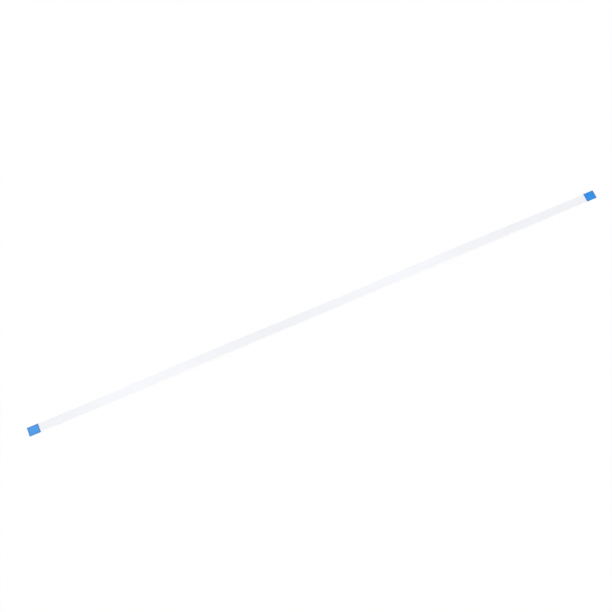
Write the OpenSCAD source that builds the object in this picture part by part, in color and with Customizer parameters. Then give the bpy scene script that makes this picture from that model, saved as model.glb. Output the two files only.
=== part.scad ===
// Flat flex cable: bare flat conductors laminated between two white polyester films.
// One film stops short of both ends, which leaves the conductors bare as contacts, and a
// blue stiffener tab behind each contact end brings it to a connector's thickness.
// X runs along the cable, Y across it and Z up. The tabs are on top, the contacts below.
// The origin is on the table, under the middle of the cable.

/* [Cable] */
// Cut length of the whole cable, contacts included
cable_length = 450; // [120:5:1000]
// Number of parallel conductors
conductor_count = 12; // [4:1:40]
// Distance from one conductor's centre to the next
pitch = 0.5; // [0.5:0.05:1.25]
// From an outer conductor's centre to the cable's slit edge
edge_margin = 0.5; // [0.3:0.05:1.5]

/* [Conductors] */
// Width of one rolled flat conductor
conductor_w = 0.3; // [0.15:0.01:0.4]
// Thickness of one conductor
conductor_t = 0.035; // [0.03:0.005:0.05]

/* [Films] */
// Thickness of one insulating film with its adhesive coat
film_t = 0.06; // [0.04:0.005:0.1]

/* [Contact ends] */
// Length of bare conductor at each end
bare_length = 4; // [2:0.5:6]
// Length of each blue stiffener tab
stiffener_length = 8; // [7:0.5:15]
// Thickness of a stiffener tab
stiffener_t = 0.22; // [0.1:0.01:0.3]

/* [Lay] */
// Number of low crests in which the cable lies on the table
crests = 2; // [1:1:5]
// Height of a crest above the table
crest_h = 2; // [0.2:0.1:3]
// Straight run at the left end, before the first crest rises
left_straight = 40; // [16:1:50]
// Straight run at the right end, after the last crest
right_straight = 20; // [16:1:50]

/* [Hidden] */
// Straight pieces in which each crest is drawn
crest_steps = 16;
cable_w = (conductor_count - 1) * pitch + 2 * edge_margin;
end_x = cable_length / 2;
wave_start = left_straight - end_x;
wave_end = end_x - right_straight;
// Heights of the layers above the cable's underside
seam_z = film_t;
top_z = 2 * film_t;
conductor_z = seam_z - conductor_t / 2;

conductor_names = [for (i = [1 : conductor_count]) str("conductor_", i < 10 ? "0" : "", i)];

// Height of the cable's underside above the table, as raised cosine waves
function lay(x) =
    x <= wave_start || x >= wave_end ? 0
    : crest_h / 2 * (1 - cos(360 * crests * (x - wave_start) / (wave_end - wave_start)));

// Places along the cable, from one x to another, at which its layers turn a little
function stations(from_x, to_x) =
    let (steps = crests * crest_steps,
         turns = [for (i = [0 : steps]) wave_start + (wave_end - wave_start) * i / steps])
    concat([from_x], [for (x = turns) if (x > from_x && x < to_x) x], [to_x]);

// Y of a conductor's centre, counted from 0
function conductor_y(i) = (i - (conductor_count - 1) / 2) * pitch;

// One layer of the laminate: a band that follows the lay, between two heights above the underside
module layer(from_x, to_x, low, thickness, width) {
    xs = stations(from_x, to_x);
    underside = [for (x = xs) [x, lay(x) + low]];
    top = [for (i = [len(xs) - 1 : -1 : 0]) [xs[i], lay(xs[i]) + low + thickness]];
    rotate([90, 0, 0])
        linear_extrude(height = width, center = true)
            polygon(concat(underside, top));
}

// A flat conductor runs the whole length, half sunk in each film
module conductor(i) {
    color("silver")
        translate([0, conductor_y(i), 0])
            layer(-end_x, end_x, conductor_z, conductor_t, conductor_w);
}

module all_conductors() {
    for (i = [0 : conductor_count - 1])
        conductor(i);
}

// The cover film lies underneath and is cut back, so that the contacts are bare
module lower_film() {
    color("white")
        difference() {
            layer(bare_length - end_x, end_x - bare_length, 0, film_t, cable_w);
            all_conductors();
        }
}

// The carrier film lies on top and backs the contacts right to the ends
module upper_film() {
    color("white")
        difference() {
            layer(-end_x, end_x, seam_z, film_t, cable_w);
            all_conductors();
        }
}

// A stiffener tab is glued to the carrier film and trimmed flush with the cable's end
module stiffener(from_x, to_x) {
    color("dodgerblue")
        layer(from_x, to_x, top_z, stiffener_t, cable_w);
}

module left_stiffener() {
    stiffener(-end_x, stiffener_length - end_x);
}

module right_stiffener() {
    stiffener(end_x - stiffener_length, end_x);
}

lower_film();
upper_film();
left_stiffener();
right_stiffener();
for (i = [0 : conductor_count - 1])
    conductor(i);
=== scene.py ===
# %% [markdown]
# # A flat flex cable
# This cable joins two circuit boards. It is a sandwich: flat tinned copper wires lie side by
# side between two white polyester films. At both ends the lower film stops short, so the wires
# are bare and press against a connector's springs, and a blue tab behind them gives the thin
# end the thickness that the connector needs.
#
# They are exact but plain, so this lesson makes a finer skin for each one and measures it from
# its solid.

# %% Load the solids
import math

import bpy
import numpy as np
from mathutils import Matrix, Vector


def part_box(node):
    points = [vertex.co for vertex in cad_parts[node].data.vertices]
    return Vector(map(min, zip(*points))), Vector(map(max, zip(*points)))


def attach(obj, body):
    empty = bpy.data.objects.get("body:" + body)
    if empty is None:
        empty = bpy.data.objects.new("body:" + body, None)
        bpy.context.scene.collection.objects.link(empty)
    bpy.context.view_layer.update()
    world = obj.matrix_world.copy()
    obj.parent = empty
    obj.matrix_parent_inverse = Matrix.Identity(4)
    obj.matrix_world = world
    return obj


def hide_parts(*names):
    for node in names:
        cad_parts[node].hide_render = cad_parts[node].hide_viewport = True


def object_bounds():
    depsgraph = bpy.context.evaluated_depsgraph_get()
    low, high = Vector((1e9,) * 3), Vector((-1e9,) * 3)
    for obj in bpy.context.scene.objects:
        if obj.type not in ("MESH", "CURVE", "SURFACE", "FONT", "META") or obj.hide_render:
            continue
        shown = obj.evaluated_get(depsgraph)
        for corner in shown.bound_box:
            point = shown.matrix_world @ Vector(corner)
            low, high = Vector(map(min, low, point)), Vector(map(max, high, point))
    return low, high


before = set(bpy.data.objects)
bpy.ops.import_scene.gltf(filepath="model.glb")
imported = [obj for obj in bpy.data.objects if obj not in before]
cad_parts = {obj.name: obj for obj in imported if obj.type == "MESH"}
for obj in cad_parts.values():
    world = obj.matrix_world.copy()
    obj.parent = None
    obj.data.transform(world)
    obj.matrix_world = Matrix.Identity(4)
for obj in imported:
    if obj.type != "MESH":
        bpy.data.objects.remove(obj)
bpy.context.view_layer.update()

print("solids:", ", ".join(sorted(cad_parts)))

# %% [markdown]
# ## Sizes
# Every size below is read from the solids, so the skins always fit them. The plane in which
# the two films meet is called the seam. The wires lie half in one film and half in the other.

# %% Read the sizes
mm = 0.001
cable_low, cable_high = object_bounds()
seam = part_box("upper_film")[0].z
tab_low, tab_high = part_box("left_stiffener")
film_thick = tab_low.z - seam
crest_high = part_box("upper_film")[1].z - tab_low.z
cable_wide = cable_high.y - cable_low.y
end_x = cable_high.x
tab_inner_x = -tab_high.x
bare_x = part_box("lower_film")[1].x

wire_names = sorted(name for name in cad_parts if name.startswith("conductor"))
wire_boxes = [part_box(name) for name in wire_names]
wire_y = np.array([(low.y + high.y) / 2 for low, high in wire_boxes])
wire_wide = wire_boxes[0][1].y - wire_boxes[0][0].y
wire_thick = wire_boxes[0][1].z - wire_boxes[0][0].z - crest_high
pitch = wire_y[1] - wire_y[0]
print(f"{len(wire_names)} wires of {wire_wide / mm:.2f} by {wire_thick / mm:.3f} mm")
print(f"one wire every {pitch / mm:.2f} mm, in a cable {cable_wide / mm:.2f} mm wide")

# %% [markdown]
# ## The camera
# The camera comes first, because it decides what has to look right. It stands in front of the
# cable and looks steeply down on it. Place, height and lens give it the perspective of someone
# who bends over a table: the cable's left end is nearer, so it looks a little wider.

# %% Set up the camera
look_at = Vector((-0.0105, 0.0066, 0.0))
view_azimuth = math.radians(-24.32)
view_elevation = math.radians(74.85)
view_roll = math.radians(0.80)
view_distance = 0.5999
lens_mm = 48.43

camera_data = bpy.data.cameras.new("camera")
camera_data.lens = lens_mm
camera_data.sensor_width = 36.0
camera_data.clip_start = 0.01
camera = bpy.data.objects.new("camera", camera_data)
back = Vector((
    math.sin(view_azimuth) * math.cos(view_elevation),
    -math.cos(view_azimuth) * math.cos(view_elevation),
    math.sin(view_elevation),
))
turned = (-back).to_track_quat("-Z", "Y").to_matrix() @ Matrix.Rotation(view_roll, 3, "Z")
camera.matrix_world = Matrix.Translation(look_at + back * view_distance) @ turned.to_4x4()
bpy.context.scene.collection.objects.link(camera)
bpy.context.scene.camera = camera
print("camera stands at", [round(x, 3) for x in camera.matrix_world.translation])

# %% [markdown]
# ## How the cable lies
# A new cable that comes off a stack never lies quite flat. This one keeps two long, low waves
# between its straight ends. The height is a formula, so every layer can follow it exactly and
# no layer cuts through its neighbour. The number of crests and the two straight runs are those
# of the solids, written again here because a box doesn't tell them.

# %% The lay of the cable
left_straight = 40 * mm
right_straight = 20 * mm
crests = 2
wave_start = left_straight - end_x
wave_end = end_x - right_straight
wave_run = wave_end - wave_start


def lay(x):
    """Height of the cable's underside: on the straight ends it is 0, and between them half a
    crest times one minus the cosine of the turns since the wave began."""
    turns = crests * (x - wave_start) / wave_run
    wave = crest_high / 2 * (1 - np.cos(2 * np.pi * turns))
    return np.where((x > wave_start) & (x < wave_end), wave, 0.0)


print(f"crests of {crest_high / mm:.1f} mm, {wave_run / crests / mm:.0f} mm apart")

# %% [markdown]
# ## Ribs
# Film is pressed onto the wires by hot rollers. It shrinks down between them by a hair, so fine
# ribs run the whole length, one over each wire. They are far too fine to see one by one from
# here, but they are what breaks up the light on a real cable. Under the tabs a second hot press
# has ironed them flat.

# %% Ribs over the wires
rib_deep = 0.012 * mm
press_fade = 1.2 * mm


def smooth_step(t):
    """0 below t = 0, 1 above t = 1, and 3 t squared - 2 t cubed between them."""
    t = np.clip(t, 0, 1)
    return t * t * (3 - 2 * t)


def rib_hollow(x, y):
    """How far the film's face lies below its highest place: the rib's depth times how far y is
    from all wires (a raised cosine, 0 on a wire and 1 midway), times 0 where the end was
    pressed flat and 1 past a short fade."""
    from_wire = np.abs(y[..., None] - wire_y).min(axis=-1)
    between = (1 - np.cos(np.pi * np.clip(from_wire / (pitch / 2), 0, 1))) / 2
    unpressed = smooth_step((tab_inner_x - np.abs(x)) / press_fade)
    return rib_deep * between * unpressed


print(f"ribs {rib_deep / mm:.3f} mm deep")

# %% [markdown]
# ## From a section to a skin
# A cable has the same section along its whole length, so its skin is a grid: one direction goes
# round the section, the other along the cable. numpy works out all the points at once, and the
# faces are only the numbers of neighbouring points. Each section is listed anticlockwise as
# seen from +X, which makes every face point outwards.

# %% Skin helpers
station_step = 3 * mm
sharp_angle = math.radians(35)


def stations(start, end):
    """Places along the cable: evenly spaced, with more of them where the ribs fade out."""
    even = np.linspace(start, end, int(round((end - start) / station_step)) + 1)
    fade = np.linspace(tab_inner_x - press_fade, tab_inner_x, 7)
    places = np.concatenate([even, fade, -fade])
    return np.unique(np.round(places[(places >= start) & (places <= end)], 7))


def finish_mesh(mesh):
    """Smooth shading, with creases kept wherever two faces meet at more than the sharp angle."""
    mesh.validate()
    mesh.shade_smooth()
    mesh.set_sharp_from_angle(angle=sharp_angle)
    piece = bpy.data.objects.new(mesh.name, mesh)
    bpy.context.scene.collection.objects.link(piece)
    return piece


def skin(name, rings):
    """A closed skin over rings of points, an array of (places, points, 3). Four neighbours make
    a face, the last point of a ring joins its first, and one flat face closes each end."""
    count, points = rings.shape[:2]
    at = np.arange(count * points).reshape(count, points)
    after = np.roll(at, -1, axis=1)
    sides = np.stack([at[:-1], after[:-1], after[1:], at[1:]], axis=-1).reshape(-1, 4)
    faces = sides.tolist() + [at[0, ::-1].tolist(), at[-1].tolist()]
    mesh = bpy.data.meshes.new(name)
    mesh.from_pydata(rings.reshape(-1, 3), [], faces)
    print(f"{name}: {count} sections of {points} points")
    return finish_mesh(mesh)


# %% [markdown]
# ## The wires' section
# The wires are round copper rolled flat, so their edges stay round. Half the outline is enough:
# the films need it as the channel in which the wire sits, and two halves make the whole wire.

# %% Half a wire
edge_arc = np.radians(np.linspace(180, 90, 4))
edge_round = wire_thick / 2
left_edge = np.stack([
    edge_round - wire_wide / 2 + edge_round * np.cos(edge_arc),
    edge_round * np.sin(edge_arc),
], axis=1)
half_wire = np.concatenate([left_edge, left_edge[::-1] * [-1, 1]])
print("half a wire has", len(half_wire), "points")

# %% [markdown]
# ## The two films
# Both films have one section, seen in a mirror. It starts at the seam, dips into a channel for
# each wire, climbs the slit edge and comes back over the outer face, where the ribs are.
# Only the outer face is moved by the ribs, which is what the third number of a point says.

# %% The films' section
slit_round = 0.01 * mm
outer_points = 121
half_width = cable_wide / 2


def film_section():
    """Points (y, height above the seam, share of the ribs), anticlockwise."""
    channels = [half_wire + [y, 0] for y in wire_y]
    inner = np.concatenate([[[-half_width, 0]], *channels, [[half_width, 0]]])
    turn = np.radians(np.linspace(0, 90, 4))
    corner = np.stack([
        half_width - slit_round + slit_round * np.cos(turn),
        film_thick - slit_round + slit_round * np.sin(turn),
    ], axis=1)
    flat_y = np.linspace(half_width - slit_round, slit_round - half_width, outer_points)[1:-1]
    flat = np.stack([flat_y, np.full_like(flat_y, film_thick)], axis=1)
    outer = np.concatenate([corner, flat, corner[::-1] * [-1, 1]])
    share = np.concatenate([np.zeros(len(inner)), np.ones(len(outer))])
    return np.concatenate([inner, outer]), share


def film(name, start, end, side):
    """The section carried from start to end. side is 1 above the seam and -1 below it."""
    section, share = film_section()
    y = section[None, :, 0]
    x = stations(start, end)[:, None]
    above = section[None, :, 1] - share * rib_hollow(x, y)
    z = lay(x) + seam + side * above
    rings = np.stack(np.broadcast_arrays(x, y, z), axis=-1)
    return skin(name, rings[:, ::side])


carrier_film = film("carrier_film", -end_x, end_x, 1)
cover_film = film("cover_film", -bare_x, bare_x, -1)

# %% [markdown]
# ## The wires
# Each wire is a skin too. Its two end faces get a second material, because the cutting knife
# has gone through the tin and shows the copper inside.

# %% The wires
whole_wire = np.concatenate([half_wire[1:-1] * [1, -1], half_wire[::-1]])
wire_x = stations(-end_x, end_x)[:, None]
wires = []
for name, y in zip(wire_names, wire_y):
    ring_y = whole_wire[None, :, 0] + y
    ring_z = lay(wire_x) + seam + whole_wire[None, :, 1]
    rings = np.stack(np.broadcast_arrays(wire_x, ring_y, ring_z), axis=-1)
    wires.append(skin(name.replace("conductor", "wire"), rings))

# %% [markdown]
# ## The blue tabs
# A tab is die-cut from blue polyester sheet and bonded over the carrier film. Its edges are not
# knife-sharp: light catches a very fine round along them. A rounded slab is easy to compute.
# Take the points of a finely divided box, pull each one in to a box that is one radius smaller,
# and push it back out by one radius.

# %% Rounded slab
tab_round = 0.03 * mm
tab_step = 0.25 * mm


def divided(low, high, radius, step):
    """Places from low to high: a few close together in each rounded edge, even ones between."""
    edge = radius * np.array([0, 0.3, 0.65])
    even = np.linspace(low + radius, high - radius, max(2, int(round((high - low) / step))))
    return np.concatenate([low + edge, even, (high - edge)[::-1]])


def rounded_slab(name, low, high, radius, step):
    """The box from low to high with rounded edges: a point p of the box becomes its nearest
    point q of the smaller box, plus the radius times the direction from q to p."""
    ticks = [divided(low[k], high[k], radius, step) for k in range(3)]
    points, faces, count = [], [], 0
    for axis in range(3):
        u, v = (axis + 1) % 3, (axis + 2) % 3
        for side, level in ((-1, low[axis]), (1, high[axis])):
            grid_u, grid_v = np.meshgrid(ticks[u], ticks[v], indexing="ij")
            grid = np.empty(grid_u.shape + (3,))
            grid[..., u], grid[..., v], grid[..., axis] = grid_u, grid_v, level
            at = count + np.arange(grid_u.size).reshape(grid_u.shape)
            quads = np.stack([at[:-1, :-1], at[1:, :-1], at[1:, 1:], at[:-1, 1:]], axis=-1)
            faces.append(quads.reshape(-1, 4)[:, ::side])
            points.append(grid.reshape(-1, 3))
            count += grid_u.size
    points = np.concatenate(points)
    inner = np.clip(points, np.array(low) + radius, np.array(high) - radius)
    away = points - inner
    points = inner + radius * away / np.linalg.norm(away, axis=1, keepdims=True)
    shared, number = np.unique(np.round(points, 8), axis=0, return_inverse=True)
    mesh = bpy.data.meshes.new(name)
    mesh.from_pydata(shared, [], number.reshape(-1)[np.concatenate(faces)].tolist())
    print(f"{name}: {len(shared)} points")
    return finish_mesh(mesh)


def tab(name, node):
    """A rounded slab the size of a solid tab. Each point also stores, for the material, how far
    it is from the tab's outline."""
    low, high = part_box(node)
    piece = rounded_slab(name, low, high, tab_round, tab_step)
    place = np.empty(len(piece.data.vertices) * 3, np.float32)
    piece.data.vertices.foreach_get("co", place)
    place = place.reshape(-1, 3)[:, :2]
    inward = np.minimum(place - np.array(low)[:2], np.array(high)[:2] - place).min(axis=1)
    rim = piece.data.attributes.new("from_rim", "FLOAT", "POINT")
    rim.data.foreach_set("value", np.clip(inward, 0, None).astype(np.float32))
    return piece


left_tab = tab("left_tab", "left_stiffener")
right_tab = tab("right_tab", "right_stiffener")

# %% [markdown]
# ## Ink marks
# The underside of such a cable carries a line of print, repeated in two staggered rows. This
# one has plain blocks of ink in its place, with no letters. Each block is a thin tile of ink
# that hugs the ribs of the film and rises a few thousandths of a millimetre from it. There are
# hundreds of tiles, so each has few faces: one row of them, which is fine only across the cable,
# because a coarse row would cut through the ribs.

# %% The ink marks
block_long, block_wide, block_gap = 0.8 * mm, 1.15 * mm, 0.4 * mm
ink_thick = 0.004 * mm
row_y = 1.4 * mm
row_shift = 9 * mm
group_period = 56 * mm
words = (6, 3, 4, 5)
word_gap = 1.6 * mm
block_shares = (1.0, 0.7, 1.0, 0.85, 0.6)
tile_points = 13


def block_starts():
    """The left end of each block in one group, counted from the group's own left end."""
    starts, at = [], 0.0
    for letters in words:
        starts += [at + k * (block_long + block_gap) for k in range(letters)]
        at += letters * (block_long + block_gap) + word_gap
    return np.array(starts)


def ink_blocks():
    """The face and the back of every block, as arrays of (blocks, 2, tile points, 3). u is -1 at
    a block's left side and 1 at its right, and v runs from -1 to 1 across it. The sides bow
    outwards: half the length is multiplied by the square root of 1 minus 0.2 v squared."""
    starts = block_starts()
    groups = np.arange(-bare_x + 10 * mm, bare_x - 60 * mm, group_period)
    upper = (groups[:, None] + starts).ravel()
    middle_x = np.concatenate([upper, upper + row_shift]) + block_long / 2
    middle_y = np.repeat([row_y, -row_y], len(upper))
    half_long = block_long / 2 * np.resize(block_shares, len(middle_x))[:, None, None]
    u, v = np.meshgrid([-1.0, 1.0], np.linspace(-1, 1, tile_points), indexing="ij")
    x = middle_x[:, None, None] + half_long * u * np.sqrt(1 - 0.2 * v * v)
    y = np.broadcast_to(middle_y[:, None, None] + block_wide / 2 * v, x.shape)
    on_film = lay(x) + rib_hollow(x, y)
    return [np.stack([x, y, on_film + rise], axis=-1) for rise in (-ink_thick, ink_thick)]


def ink_mesh(name):
    """Joins the face and the back of every block by their four sides."""
    face, behind = ink_blocks()
    blocks = len(face)
    at = np.arange(2 * tile_points).reshape(2, tile_points)
    over = np.stack([at[0, :-1], at[1, :-1], at[1, 1:], at[0, 1:]], axis=-1)
    rim = np.concatenate([at[0], at[1, ::-1]])
    around = np.roll(rim, -1)
    wall = np.stack([rim, rim + at.size, around + at.size, around], axis=-1)
    block = np.concatenate([over[:, ::-1], over + at.size, wall])
    faces = (np.arange(blocks)[:, None, None] * 2 * at.size + block).reshape(-1, 4)
    points = np.stack([face, behind], axis=1).reshape(-1, 3)
    mesh = bpy.data.meshes.new(name)
    mesh.from_pydata(points, [], faces.tolist())
    print(f"{name}: {blocks} blocks of {len(block)} faces")
    return finish_mesh(mesh)


print_marks = ink_mesh("print_marks")

# %% [markdown]
# ## Materials
# Polyester film, dyed sheet, tin and ink all have their colour and gloss from nodes that read
# Object coordinates. Those are metres here, and patterns on a thing this small are easier to
# think of in millimetres, so each material starts with a Mapping node that turns one into the
# other. Small helpers keep the node code as short as the idea behind it. A noise pattern stays
# near its middle value of 0.5, so it is stretched from one of two narrow ranges to the full one.

# %% Node helpers
wide_noise = (0.3, 0.7)
narrow_noise = (0.35, 0.65)


def new_material(name):
    """An empty node material with its Principled shader, and object coordinates in mm."""
    material = bpy.data.materials.new(name)
    material.use_nodes = True
    nodes = material.node_tree.nodes
    shader = nodes["Principled BSDF"]
    place = add(material, "ShaderNodeTexCoord").outputs["Object"]
    in_mm = add(material, "ShaderNodeMapping", Vector=place, Scale=(1000, 1000, 1000))
    return material, shader, in_mm.outputs["Vector"]


def add(material, kind, settings=None, **inputs):
    """Adds a node. settings are its own properties, and inputs are numbers or links."""
    node = material.node_tree.nodes.new(kind)
    for key, value in (settings or {}).items():
        setattr(node, key, value)
    for key, value in inputs.items():
        connect(material, value, node.inputs[key.replace("_", " ")])
    return node


def connect(material, value, socket):
    """Links an output to a socket, or writes a plain value into it."""
    if isinstance(value, bpy.types.NodeSocket):
        material.node_tree.links.new(value, socket)
    else:
        socket.default_value = value


def sums(material, operation, *values):
    """A Math node: its operation on one or two values, which are numbers or links."""
    node = add(material, "ShaderNodeMath", {"operation": operation})
    for value, socket in zip(values, node.inputs):
        connect(material, value, socket)
    return node.outputs[0]


def spread(material, value, low, high, to_low=0.0, to_high=1.0):
    """A smooth Map Range node: low becomes to_low, high becomes to_high."""
    node = add(material, "ShaderNodeMapRange", {"interpolation_type": "SMOOTHSTEP"})
    for key, number in (("Value", value), ("From Min", low), ("From Max", high),
                        ("To Min", to_low), ("To Max", to_high)):
        connect(material, number, node.inputs[key])
    return node.outputs["Result"]


def grain(material, place, scale, detail=3.0, stretch=(1.0, 1.0, 1.0)):
    """A noise pattern, stretched along the cable where stretch's first number is small."""
    mapped = add(material, "ShaderNodeMapping", Vector=place, Scale=stretch)
    noise = add(material, "ShaderNodeTexNoise", Vector=mapped.outputs["Vector"],
                Scale=scale, Detail=detail)
    return noise.outputs["Fac"]


def blend_colours(material, share, first, second):
    """Mixes two colours: the share of the second."""
    node = add(material, "ShaderNodeMix", {"data_type": "RGBA"})
    connect(material, share, node.inputs["Factor"])
    for socket, colour in zip([s for s in node.inputs if s.type == "RGBA"], (first, second)):
        connect(material, colour, socket)
    return [s for s in node.outputs if s.type == "RGBA"][0]


def bump(material, height, distance, strength=1.0, under=None):
    """A Bump node. The distance is the real height of the pattern, in metres."""
    node = add(material, "ShaderNodeBump", Height=height, Distance=distance, Strength=strength)
    if under is not None:
        connect(material, under, node.inputs["Normal"])
    return node.outputs["Normal"]


# %% [markdown]
# ## White film
# The film is clouded with white pigment and calendered to a satin face. A little light passes through
# it, so what lies behind shows by a trace: each wire greys it, and the two margins, which have no metal
# behind them, glow with the white of the table. Over the last stretch before each tab it is greyer.
# Roller lines run along it, and the sheet is slightly cockled, which moves the highlights. The slit and
# cut edges show the raw section, which is a little greyer, and they are found by the direction in which
# they face. The film's patterns are placed in millimetres, as its coordinates are, and only bump
# heights in metres.

# %% White film
white = (0.916, 0.923, 0.956, 1.0)
white_over_metal = (0.892, 0.898, 0.933, 1.0)
clouded = (0.898, 0.904, 0.943, 1.0)
margin_white = (0.955, 0.960, 0.980, 1.0)
# Greyer over the last stretch of film before each tab.
grey_near_tabs = (0.835, 0.848, 0.885, 1.0)
cut_grey = (0.74, 0.75, 0.78, 1.0)
cover_white = (0.898, 0.902, 0.925, 1.0)
wire_edge = (wire_y[-1] + wire_wide / 2) / mm
margin_start, margin_full = wire_edge - 0.03, wire_edge + 0.11
grey_run = 55.0
grey_share = 0.5
stripe_share = 0.6


def film_material(name, colour):
    """White polyester: clouds, a stripe over each wire, pale margins and greyed ends, then
    roller lines and a cockled face. The stripes repeat with the fraction of y over the pitch."""
    material, shader, place = new_material(name)
    along, across, _ = add(material, "ShaderNodeSeparateXYZ", Vector=place).outputs
    clouds = spread(material, grain(material, place, 0.25, 4.0, (0.3, 1.0, 1.0)), *narrow_noise)
    body = blend_colours(material, clouds, colour, clouded)
    share = sums(material, "FRACT", sums(material, "DIVIDE", across, pitch / mm))
    from_wire = sums(material, "ABSOLUTE", sums(material, "SUBTRACT", share, 0.5))
    stripe = sums(material, "MULTIPLY", spread(material, from_wire, 0.38, 0.24), stripe_share)
    body = blend_colours(material, stripe, body, white_over_metal)
    from_end = sums(material, "SUBTRACT", tab_inner_x / mm, sums(material, "ABSOLUTE", along))
    near_tabs = spread(material, from_end, 0.0, grey_run, grey_share, 0.0)
    body = blend_colours(material, near_tabs, body, grey_near_tabs)
    from_middle = sums(material, "ABSOLUTE", across)
    margin = spread(material, from_middle, margin_start, margin_full)
    body = blend_colours(material, margin, body, margin_white)
    facing = add(material, "ShaderNodeTexCoord").outputs["Normal"]
    upright = add(material, "ShaderNodeSeparateXYZ", Vector=facing).outputs["Z"]
    cut = spread(material, sums(material, "ABSOLUTE", upright), 0.6, 0.3)
    body = blend_colours(material, cut, body, cut_grey)
    connect(material, body, shader.inputs["Base Color"])

    lines = grain(material, place, 9.0, 2.0, (0.02, 1.0, 1.0))
    connect(material, spread(material, lines, *wide_noise, 0.30, 0.42), shader.inputs["Roughness"])
    cockle = grain(material, place, 0.35, 2.0, (0.35, 1.0, 1.0))
    rolled = bump(material, lines, 0.0006 * mm)
    connect(material, bump(material, cockle, 0.03 * mm, under=rolled), shader.inputs["Normal"])
    return material


carrier_white = film_material("carrier_film_white", white)
cover_satin = film_material("cover_film_white", cover_white)
print("film materials made")

# %% [markdown]
# ## Blue sheet
# The tabs are dyed through, so their colour is deep and even. It is darker along the outline, and
# handling has left faint scuffs and specks of dust.
# The left tab is paler: its body colours carry a painted sheen, the reflection of the light that falls
# on that end. One function makes both, and only the two body colours differ.

# %% Blue sheet
blue, blue_cloud = (0.005, 0.242, 0.757, 1.0), (0.016, 0.272, 0.785, 1.0)
# The paler pair of colours is a painted sheen: the reflection of the light on the left tab, put into
# its colour.
painted_sheen_blue, painted_sheen_cloud = (0.046, 0.288, 0.760, 1.0), (0.062, 0.322, 0.790, 1.0)
# Darker along the outline: a broad fade and a thin line close to the edge.
outline_dark_blue = (0.020, 0.140, 0.400, 1.0)
outline_line_width = 0.16 * mm
outline_fade_run = 1.3 * mm
outline_fade_share = 0.5
dust = (0.45, 0.62, 0.88, 1.0)


def tab_material(name, body_colour, cloud_colour):
    """Blue polyester: clouds, a darker outline from the stored distance, scuffs and specks."""
    material, shader, place = new_material(name)
    clouds = spread(material, grain(material, place, 0.5, 3.0), *narrow_noise)
    body = blend_colours(material, clouds, body_colour, cloud_colour)
    stored = add(material, "ShaderNodeAttribute", {"attribute_name": "from_rim"}).outputs["Fac"]
    fade = spread(material, stored, outline_fade_run, 0.0, 0.0, outline_fade_share)
    uneven = spread(material, grain(material, place, 1.6, 4.0), *wide_noise, 0.7, 1.0)
    outlined = blend_colours(material, sums(material, "MULTIPLY", fade, uneven), body, outline_dark_blue)
    mark = spread(material, stored, outline_line_width, 0.4 * outline_line_width, 0.0, 0.75)
    outlined = blend_colours(material, mark, outlined, outline_dark_blue)
    specks = spread(material, grain(material, place, 7.0, 1.0), 0.72, 0.78, 0.0, 0.5)
    connect(material, blend_colours(material, specks, outlined, dust), shader.inputs["Base Color"])

    scuffs = grain(material, place, 3.0, 4.0, (1.0, 0.15, 1.0))
    connect(material, spread(material, scuffs, *wide_noise, 0.26, 0.44), shader.inputs["Roughness"])
    hollows = grain(material, place, 0.45, 2.0)
    fine = bump(material, scuffs, 0.0008 * mm)
    connect(material, bump(material, hollows, 0.02 * mm, under=fine), shader.inputs["Normal"])
    return material


tab_blue = tab_material("tab_blue", blue, blue_cloud)
# This material carries the painted sheen of the left tab.
tab_blue_painted_sheen = tab_material("tab_blue_painted_sheen", painted_sheen_blue, painted_sheen_cloud)
print("tab materials made")

# %% [markdown]
# ## Tin and copper
# The wires are plated with tin, which is a soft grey metal with streaks along the way it was
# rolled. Only the ends that the knife has cut show copper.

# %% Tin and copper
tin = (0.70, 0.70, 0.68, 1.0)
tin_dull = (0.52, 0.52, 0.51, 1.0)
copper = (0.78, 0.36, 0.20, 1.0)
copper_dark = (0.55, 0.24, 0.14, 1.0)


def metal_material(name, bright, dull, streak):
    """A metal whose colour and gloss vary in streaks. streak squeezes the pattern along X."""
    material, shader, place = new_material(name)
    shader.inputs["Metallic"].default_value = 1.0
    streaks = grain(material, place, 6.0, 4.0, (streak, 1.0, 1.0))
    patches = grain(material, place, 1.5, 3.0, (3 * streak, 1.0, 1.0))
    share = spread(material, sums(material, "MULTIPLY", streaks, patches), 0.15, 0.40)
    connect(material, blend_colours(material, share, bright, dull), shader.inputs["Base Color"])
    connect(material, spread(material, streaks, *wide_noise, 0.22, 0.38), shader.inputs["Roughness"])
    connect(material, bump(material, streaks, 0.0008 * mm), shader.inputs["Normal"])
    return material


wire_tin = metal_material("wire_tin", tin, tin_dull, 0.05)
wire_copper = metal_material("cut_copper", copper, copper_dark, 1.0)
print("metal materials made")

# %% [markdown]
# ## Ink
# The marks are ink-jet print: dark blue, matt, and uneven because the drops don't quite meet.

# %% Ink
ink = (0.030, 0.045, 0.150, 1.0)
ink_thin = (0.16, 0.19, 0.36, 1.0)


def ink_material():
    """Dark blue ink with thin places where the drops are apart."""
    material, shader, place = new_material("ink_dark_blue")
    drops = grain(material, place, 5.0, 3.0)
    thin = spread(material, drops, 0.45, 0.75)
    connect(material, blend_colours(material, thin, ink, ink_thin), shader.inputs["Base Color"])
    connect(material, spread(material, drops, *wide_noise, 0.50, 0.70), shader.inputs["Roughness"])
    connect(material, bump(material, drops, 0.001 * mm), shader.inputs["Normal"])
    return material


ink_blue = ink_material()
print("ink material made")

# %% [markdown]
# ## Dress the cable
# Each skin gets its material, hides the solid that it stands for, and rides on the only body that this
# object has. Faces can each pick one of a piece's materials by number, which is how the cut ends of the
# wires become copper.

# %% Dress the cable
def dress(piece, slot, materials, *solids):
    """Gives a piece its materials and its body, and hides its solids. slot is not used."""
    for material in materials:
        piece.data.materials.append(material)
    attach(piece, "root")
    if solids:
        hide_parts(*solids)


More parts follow.
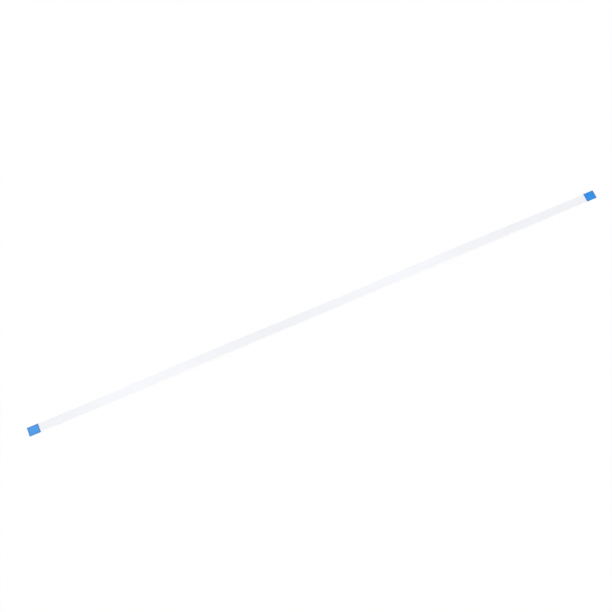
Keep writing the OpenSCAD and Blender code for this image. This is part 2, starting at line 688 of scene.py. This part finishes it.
dress(carrier_film, "carrier_film", [carrier_white], "upper_film")
dress(cover_film, "cover_film", [cover_satin], "lower_film")
dress(left_tab, "stiffener", [tab_blue_painted_sheen], "left_stiffener")
dress(right_tab, "stiffener", [tab_blue], "right_stiffener")
dress(print_marks, "cover_film", [ink_blue])
for wire, name in zip(wires, wire_names):
    dress(wire, "conductor", [wire_tin, wire_copper], name)
    for end_face in wire.data.polygons[-2:]:
        end_face.material_index = 1

# %% [markdown]

# %% [markdown]
# ## Table and light
# The cable lies on a white table with white all round. For the camera the table is mostly
# self-lit, so it stays pure white wherever the lamp falls off, but a part of it is ordinary
# paint that still takes the cable's soft shadow. The light comes from a large, low sun on the
# left, which brightens the slopes that rise towards it, and from the white room itself.

# %% The table
table_half = 5.0
painted_share = 0.10
table_white = (0.98, 0.98, 0.98, 1.0)


def background_rays(material_nodes, links):
    """1 for rays that should see plain white: from the camera, or by way of gloss or glass."""
    rays = material_nodes.new("ShaderNodeLightPath")
    first = material_nodes.new("ShaderNodeMath")
    second = material_nodes.new("ShaderNodeMath")
    first.operation = second.operation = "MAXIMUM"
    links.new(rays.outputs["Is Camera Ray"], first.inputs[0])
    links.new(rays.outputs["Is Glossy Ray"], first.inputs[1])
    links.new(first.outputs[0], second.inputs[0])
    links.new(rays.outputs["Is Transmission Ray"], second.inputs[1])
    return second.outputs[0]


def table_material():
    """White paint for the light, and mostly plain white for the rays that see the background."""
    material = bpy.data.materials.new("table_white")
    material.use_nodes = True
    nodes, links = material.node_tree.nodes, material.node_tree.links
    paint = nodes["Principled BSDF"]
    paint.inputs["Base Color"].default_value = table_white
    paint.inputs["Roughness"].default_value = 0.9
    paint.inputs["Specular IOR Level"].default_value = 0.0
    glow = nodes.new("ShaderNodeEmission")
    share = nodes.new("ShaderNodeMath")
    share.operation = "MULTIPLY"
    share.inputs[1].default_value = 1 - painted_share
    mixed = nodes.new("ShaderNodeMixShader")
    links.new(background_rays(nodes, links), share.inputs[0])
    links.new(share.outputs[0], mixed.inputs["Fac"])
    links.new(paint.outputs[0], mixed.inputs[1])
    links.new(glow.outputs[0], mixed.inputs[2])
    links.new(mixed.outputs[0], nodes["Material Output"].inputs["Surface"])
    return material


table_mesh = bpy.data.meshes.new("table")
table_corners = [(x * table_half, y * table_half, 0.0) for x, y in ((-1, -1), (1, -1), (1, 1), (-1, 1))]
table_mesh.from_pydata(table_corners, [], [(0, 1, 2, 3)])
table_mesh.materials.append(table_material())
table = bpy.data.objects.new("table", table_mesh)
bpy.context.scene.collection.objects.link(table)
print(f"table {2 * table_half:.0f} m across")

# %% The light
room_share = 0.45
sun_share = 0.55
sun_from = Vector((-0.78, 0.10, 0.62)).normalized()
sun_soft = math.radians(40)

world = bpy.data.worlds.new("room")
bpy.context.scene.world = world
world.use_nodes = True
room_nodes, room_links = world.node_tree.nodes, world.node_tree.links
seen_strength = room_nodes.new("ShaderNodeMath")
seen_strength.operation = "MULTIPLY_ADD"
seen_strength.inputs[1].default_value = 1 - room_share
seen_strength.inputs[2].default_value = room_share
room_links.new(background_rays(room_nodes, room_links), seen_strength.inputs[0])
room_links.new(seen_strength.outputs[0], room_nodes["Background"].inputs["Strength"])
room_nodes["Background"].inputs["Color"].default_value = (1.0, 1.0, 1.0, 1.0)

sun_data = bpy.data.lights.new("sun", "SUN")
sun_data.angle = sun_soft
sun_data.energy = math.pi * sun_share / sun_from.z
sun = bpy.data.objects.new("sun", sun_data)
sun.rotation_mode = "QUATERNION"
sun.rotation_quaternion = sun_from.to_track_quat("Z", "Y")
bpy.context.scene.collection.objects.link(sun)
print(f"sun {math.degrees(math.asin(sun_from.z)):.0f} degrees above the table")

# %% [markdown]
# ## Finish
# The skins have to stay inside the box of the solids. The last cell sets the Standard view transform.

# %% Finish
view_settings = bpy.context.scene.view_settings
view_settings.view_transform = "Standard"
